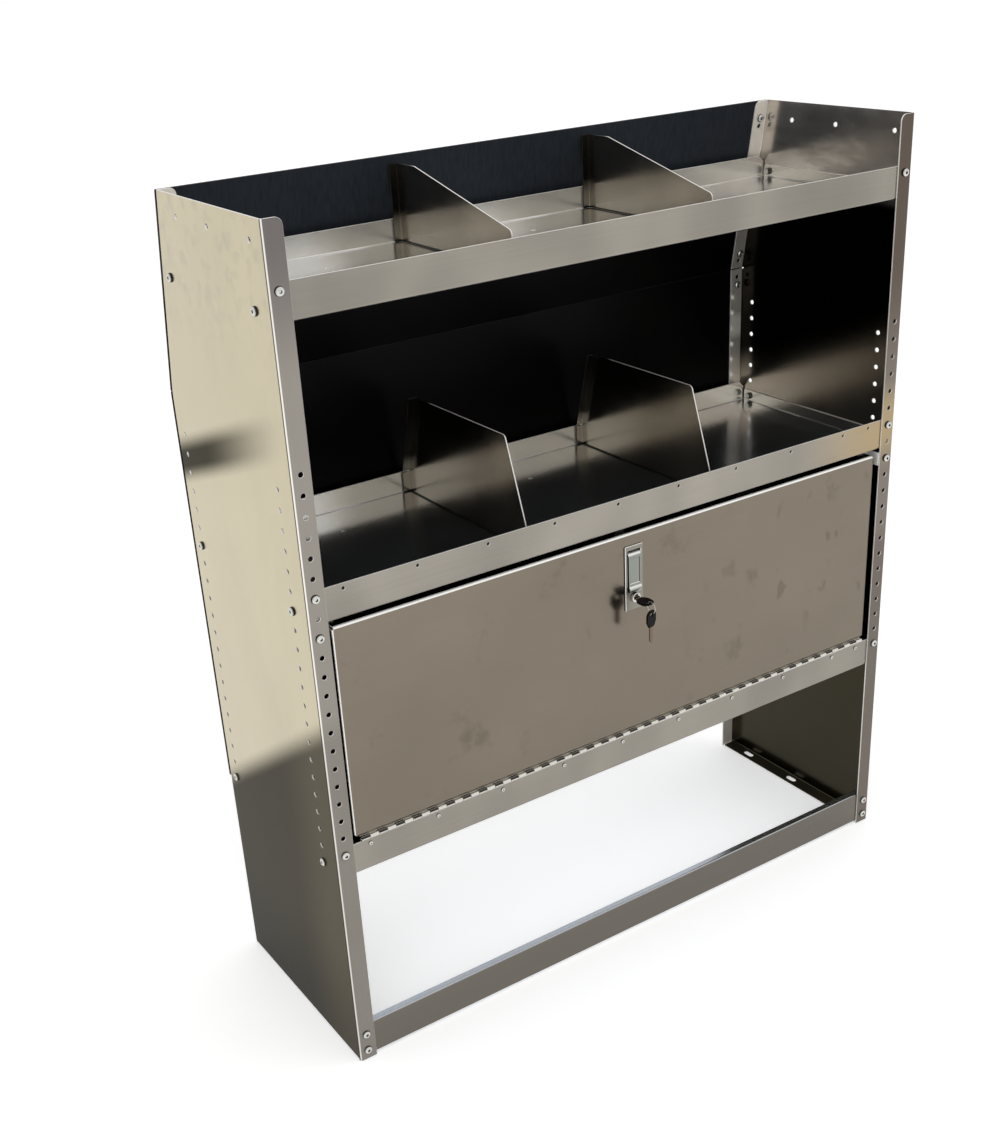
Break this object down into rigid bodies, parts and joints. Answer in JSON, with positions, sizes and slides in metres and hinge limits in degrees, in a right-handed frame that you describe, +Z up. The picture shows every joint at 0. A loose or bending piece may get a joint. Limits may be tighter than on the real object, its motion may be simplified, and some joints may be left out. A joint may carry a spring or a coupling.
{
  "type": "van shelving unit",
  "caption": "Folded sheet-metal van shelving unit with divided open shelves, a leaning upper back and a lockable drop-down door on a piano hinge.",
  "frame": {"origin": "centre of the bounding box at floor level", "axes": "+Z up, +X to the right seen from the front, +Y towards the back sheets"},
  "size_m": [0.9722, 0.378, 1.1176],
  "materials": {
    "panel": "bright satin sheet",
    "tray": "bright satin sheet",
    "divider": "bright satin sheet",
    "door": "satin sheet with faint smudges",
    "back": "glossy with fine upright ribs",
    "hinge": "bright rolled steel",
    "zinc": "bright zinc plate",
    "latch": "satin cast metal",
    "key": "matte black"
  },
  "bodies": {
    "frame": {"end_panel_left": "panel", "end_panel_right": "panel", "shelf_tray_top": "tray", "shelf_tray_middle": "tray", "cabinet_floor_tray": "tray", "divider_top_left": "divider", "divider_top_right": "divider", "divider_middle_left": "divider", "divider_middle_right": "divider", "bottom_front_rail": "tray", "back_sheet_upper": "back", "back_sheet_lower": "back", "hinge_leaf_fixed": "hinge", "hinge_pin": "hinge", "door_stop_left": "tray", "door_stop_right": "tray", "flange_screw_left_top_shelf": "zinc", "flange_screw_left_middle_shelf": "zinc", "flange_screw_left_door_stop": "zinc", "flange_screw_left_cabinet_floor": "zinc", "flange_screw_left_rail_upper": "zinc", "flange_screw_left_rail_lower": "zinc", "flange_screw_right_top_shelf": "zinc", "flange_screw_right_middle_shelf": "zinc", "flange_screw_right_door_stop": "zinc", "flange_screw_right_cabinet_floor": "zinc", "flange_screw_right_rail_upper": "zinc", "flange_screw_right_rail_lower": "zinc", "web_screw_left_top_shelf_front": "zinc", "web_screw_left_top_shelf_rear": "zinc", "web_screw_left_middle_shelf_front": "zinc", "web_screw_left_middle_shelf_rear": "zinc", "web_screw_left_cabinet_floor_front": "zinc", "web_screw_left_cabinet_floor_rear": "zinc", "web_screw_right_top_shelf_front": "zinc", "web_screw_right_top_shelf_rear": "zinc", "web_screw_right_middle_shelf_front": "zinc", "web_screw_right_middle_shelf_rear": "zinc", "web_screw_right_cabinet_floor_front": "zinc", "web_screw_right_cabinet_floor_rear": "zinc", "rear_screw_left_upper_seam": "zinc", "rear_screw_left_upper_top": "zinc", "rear_screw_left_lower_seam": "zinc", "rear_screw_left_lower_base": "zinc", "rear_screw_right_upper_seam": "zinc", "rear_screw_right_upper_top": "zinc", "rear_screw_right_lower_seam": "zinc", "rear_screw_right_lower_base": "zinc"},
    "door": {"door_panel": "door", "hinge_leaf_door": "hinge", "latch_housing": "latch", "lever_pin": "zinc"},
    "pull_lever": {"pull_lever": "latch"},
    "lock": {"lock_cylinder": "zinc", "lock_cam": "zinc", "cam_nut": "zinc", "key_in_lock": "key"},
    "lock_bolt": {"lock_bolt": "zinc"},
    "ring": {"key_ring": "zinc"},
    "spare_key": {"spare_key": "key"}
  },
  "joints": [
    {"name": "door_swing", "type": "hinge", "parent": "frame", "child": "door", "pos_m": [0, -0.146, 0.343], "axis": [1, 0, 0], "range_deg": [0, 180]},
    {"name": "lever_lift", "type": "hinge", "parent": "door", "child": "pull_lever", "pos_m": [0, -0.1412, 0.611], "axis": [-1, 0, 0], "range_deg": [0, 40]},
    {"name": "lock_turn", "type": "hinge", "parent": "door", "child": "lock", "pos_m": [0, -0.141, 0.549], "axis": [0, 1, 0], "range_deg": [0, 90]},
    {"name": "bolt_throw", "type": "slide", "parent": "door", "child": "lock_bolt", "axis": [0, 0, 1], "range_m": [0, 0.014]},
    {"name": "ring_swing", "type": "hinge", "parent": "lock", "child": "ring", "pos_m": [0, -0.1734, 0.549], "axis": [0, 1, 0], "range_deg": [-25, 25]},
    {"name": "spare_swing", "type": "hinge", "parent": "ring", "child": "spare_key", "pos_m": [0, -0.1802, 0.5368], "axis": [0, 1, 0], "range_deg": [-45, 45]}
  ],
  "couplings": [
    {"joint": "lock_turn", "follows": "bolt_throw", "rad_per_m": 112.19}
  ]
}
